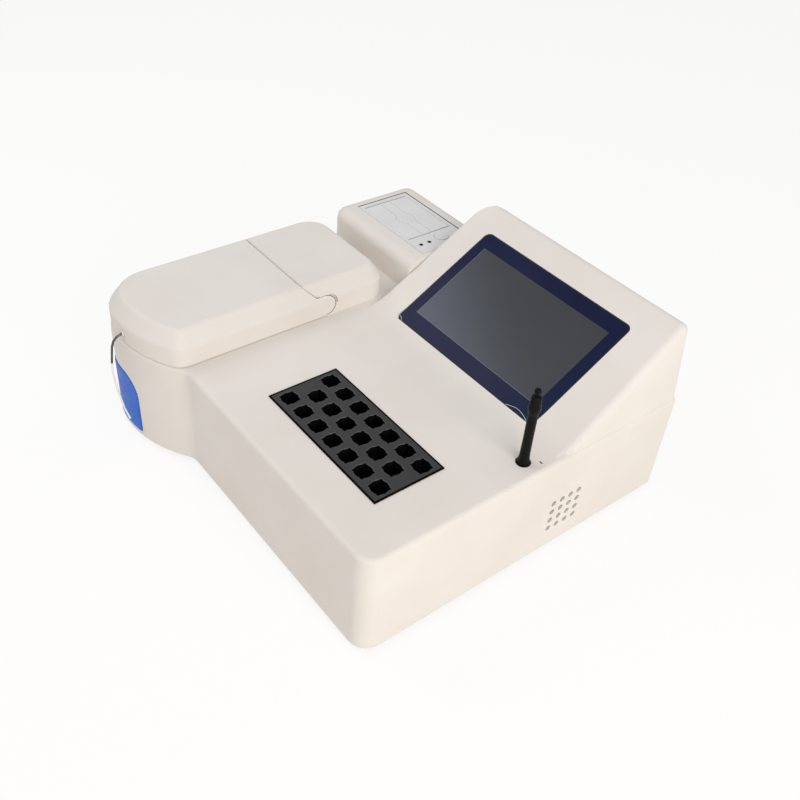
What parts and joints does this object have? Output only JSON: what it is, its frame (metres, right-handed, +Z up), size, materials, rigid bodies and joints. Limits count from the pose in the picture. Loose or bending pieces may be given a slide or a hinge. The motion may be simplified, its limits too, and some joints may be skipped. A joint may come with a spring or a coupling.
{
  "type": "semi-automatic biochemistry analyzer",
  "caption": "Bench analyzer with a sloped touch screen, an incubator block in its deck, a hinged flow-cell lid over a suction needle and key, a printer and a stylus.",
  "frame": {"origin": "the middle of the footprint without the free tube, on the bench", "axes": "+X to the user's right, +Y to the back, +Z up; the user is at -Y"},
  "size_m": [0.372, 0.3675, 0.175],
  "materials": {
    "cream_abs": "fine moulded texture",
    "blue_plastic": "satin",
    "black_plastic": "satin",
    "black_anodised": "black anodised",
    "dark_glass": "polished cover glass, dark blue border printed behind it",
    "lcd": "unlit panel",
    "stainless": "polished",
    "zinc_sheet": "zinc plated",
    "white_ptfe": "satin",
    "clear_silicone": "translucent",
    "grey_plastic": "fine moulded texture",
    "black_rubber": "matt",
    "circuit_board": "green solder mask",
    "white_foam": "foam",
    "paper": "thermal paper",
    "cast_aluminium": "cast",
    "heater_film": "polyimide film",
    "filter_glass": "coated"
  },
  "bodies": {
    "case": {"housing": "cream_abs", "base_plate": "zinc_sheet", "key_pin": "stainless", "key_switch": "black_plastic", "sample_needle": "stainless", "needle_holder": "cream_abs", "suction_tube": "white_ptfe", "cell_tray": "black_plastic", "cell_block": "black_anodised", "flow_cell": "black_plastic", "cell_tube": "clear_silicone", "pump_body": "grey_plastic", "pump_motor": "stainless", "lamp_house": "cast_aluminium", "filter_motor": "stainless", "detector": "black_anodised", "incubator_block": "black_anodised", "incubator_heater": "heater_film", "incubator_cradle": "white_foam", "stylus_socket": "black_plastic", "touch_panel": "dark_glass", "lcd_module": "lcd", "screen_bracket": "zinc_sheet", "printer_frame": "grey_plastic", "status_lamp_1": "black_plastic", "status_lamp_2": "black_plastic", "speaker": "black_plastic", "main_board": "circuit_board", "power_supply": "zinc_sheet", "fan_frame": "black_plastic", "inlet_socket": "black_plastic", "switch_frame": "black_plastic", "serial_port": "stainless", "usb_port": "stainless", "waste_fitting": "black_plastic", "foot_1": "black_rubber", "base_screw_1": "stainless", "foot_2": "black_rubber", "base_screw_2": "stainless", "foot_3": "black_rubber", "base_screw_3": "stainless", "foot_4": "black_rubber", "base_screw_4": "stainless"},
    "lid": {"flow_cell_lid": "cream_abs"},
    "key": {"suction_key": "blue_plastic"},
    "door": {"printer_door": "grey_plastic"},
    "platen": {"platen_roller": "black_rubber"},
    "roll": {"paper_roll": "paper"},
    "button": {"printer_button": "grey_plastic"},
    "stylus": {"stylus": "black_plastic"},
    "pump": {"pump_rotor": "white_ptfe"},
    "filters": {"filter_wheel": "filter_glass"},
    "fan": {"fan_rotor": "black_plastic"},
    "rocker": {"power_rocker": "black_plastic"}
  },
  "joints": [
    {"name": "lid_hinge", "type": "hinge", "parent": "case", "child": "lid", "pos_m": [-0.127, -0.0034, 0.1131], "axis": [-1, 0, 0], "range_deg": [0, 62]},
    {"name": "key_press", "type": "hinge", "parent": "case", "child": "key", "pos_m": [-0.145, -0.16, 0.013], "axis": [-1, 0, 0], "range_deg": [0, 3], "stiffness_Nm_per_rad": 2, "springref_deg": -2.86},
    {"name": "printer_door_hinge", "type": "hinge", "parent": "case", "child": "door", "pos_m": [-0.1645, 0.1333, 0.1313], "axis": [0, -1, 0], "range_deg": [0, 95]},
    {"name": "platen_spin", "type": "hinge", "parent": "door", "child": "platen", "pos_m": [-0.1046, 0.1333, 0.1239], "axis": [0, 1, 0], "continuous": true},
    {"name": "paper_spin", "type": "hinge", "parent": "case", "child": "roll", "pos_m": [-0.14255, 0.1333, 0.1097], "axis": [0, 1, 0], "continuous": true},
    {"name": "printer_button_press", "type": "slide", "parent": "case", "child": "button", "axis": [0, 0, -1], "range_m": [0, 0.0012], "stiffness_N_per_m": 400, "springref_m": -0.001},
    {"name": "stylus_lift", "type": "slide", "parent": "case", "child": "stylus", "axis": [0, 0, 1], "range_m": [0, 0.06]},
    {"name": "pump_spin", "type": "hinge", "parent": "case", "child": "pump", "pos_m": [-0.147, -0.057, 0.073], "axis": [0, 0, 1], "continuous": true},
    {"name": "filter_spin", "type": "hinge", "parent": "case", "child": "filters", "pos_m": [-0.114, -0.0275, 0.078], "axis": [0, 1, 0], "continuous": true},
    {"name": "fan_spin", "type": "hinge", "parent": "case", "child": "fan", "pos_m": [0.036, 0.1705, 0.054], "axis": [0, 1, 0], "continuous": true},
    {"name": "power_rocker_tilt", "type": "hinge", "parent": "case", "child": "rocker", "pos_m": [0.082, 0.18, 0.034], "axis": [1, 0, 0], "range_deg": [0, 16]}
  ]
}
